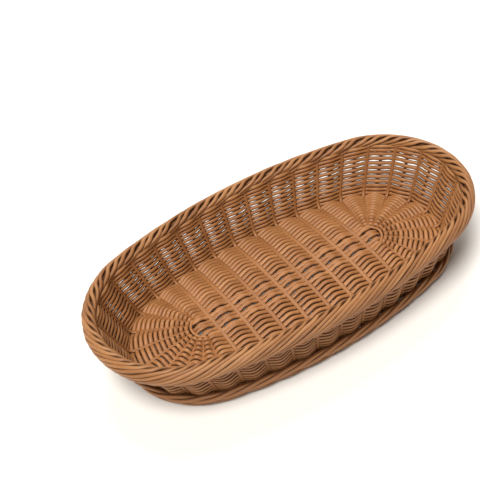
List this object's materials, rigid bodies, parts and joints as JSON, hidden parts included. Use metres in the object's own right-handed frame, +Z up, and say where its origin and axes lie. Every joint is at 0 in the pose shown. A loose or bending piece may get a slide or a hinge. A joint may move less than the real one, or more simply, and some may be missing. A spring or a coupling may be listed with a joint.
{
  "type": "woven oval basket",
  "caption": "Oval open-work basket woven from round plastic cane, with a domed floor, flared wall, rope foot and thick rolled border; holds bread, proving dough, fruit or small goods.",
  "frame": {"origin": "on the surface the basket stands on, under the middle of the basket", "axes": "X along the basket's length, Y across it, Z up; the basket stands upright on its foot border"},
  "size_m": [0.3508, 0.186, 0.062],
  "materials": {
    "weaver_cane": "satin, honey brown, fine lengthwise grain",
    "stake_cane": "satin, honey brown, fine lengthwise grain",
    "border_cane": "satin, light honey brown, fine lengthwise grain"
  },
  "bodies": {
    "root": {"base_end_wrap_left": "weaver_cane", "base_end_wrap_right": "weaver_cane", "base_fan_lower_left": "stake_cane", "base_fan_lower_right": "stake_cane", "base_fan_upper_left": "stake_cane", "base_fan_upper_right": "stake_cane", "base_long_stake_1": "stake_cane", "base_long_stake_2": "stake_cane", "base_long_stake_3": "stake_cane", "base_long_stake_4": "stake_cane", "base_long_stake_5": "stake_cane", "base_long_stake_6": "stake_cane", "base_rib_lower_1": "stake_cane", "base_rib_lower_2": "stake_cane", "base_rib_lower_3": "stake_cane", "base_rib_lower_4": "stake_cane", "base_rib_lower_5": "stake_cane", "base_rib_lower_6": "stake_cane", "base_rib_lower_7": "stake_cane", "base_rib_lower_8": "stake_cane", "base_rib_lower_9": "stake_cane", "base_rib_upper_1": "stake_cane", "base_rib_upper_2": "stake_cane", "base_rib_upper_3": "stake_cane", "base_rib_upper_4": "stake_cane", "base_rib_upper_5": "stake_cane", "base_rib_upper_6": "stake_cane", "base_rib_upper_7": "stake_cane", "base_rib_upper_8": "stake_cane", "base_weaver_01": "weaver_cane", "base_weaver_02": "weaver_cane", "base_weaver_03": "weaver_cane", "base_weaver_04": "weaver_cane", "base_weaver_05": "weaver_cane", "base_weaver_06": "weaver_cane", "base_weaver_07": "weaver_cane", "base_weaver_08": "weaver_cane", "base_weaver_09": "weaver_cane", "base_weaver_10": "weaver_cane", "base_weaver_11": "weaver_cane", "base_weaver_12": "weaver_cane", "foot_border_rope": "border_cane", "foot_border_wale": "border_cane", "side_stakes_inner": "stake_cane", "side_stakes_outer": "stake_cane", "top_border_band_1": "border_cane", "top_border_band_2": "border_cane", "top_border_band_3": "border_cane", "top_border_crest": "border_cane", "wall_weaver_01": "weaver_cane", "wall_weaver_02": "weaver_cane", "wall_weaver_03": "weaver_cane", "wall_weaver_04": "weaver_cane", "wall_weaver_05": "weaver_cane", "wall_weaver_06": "weaver_cane", "wall_weaver_07": "weaver_cane", "wall_weaver_08": "weaver_cane", "wall_weaver_09": "weaver_cane", "wall_weaver_10": "weaver_cane", "wall_weaver_11": "weaver_cane"}
  },
  "joints": []
}
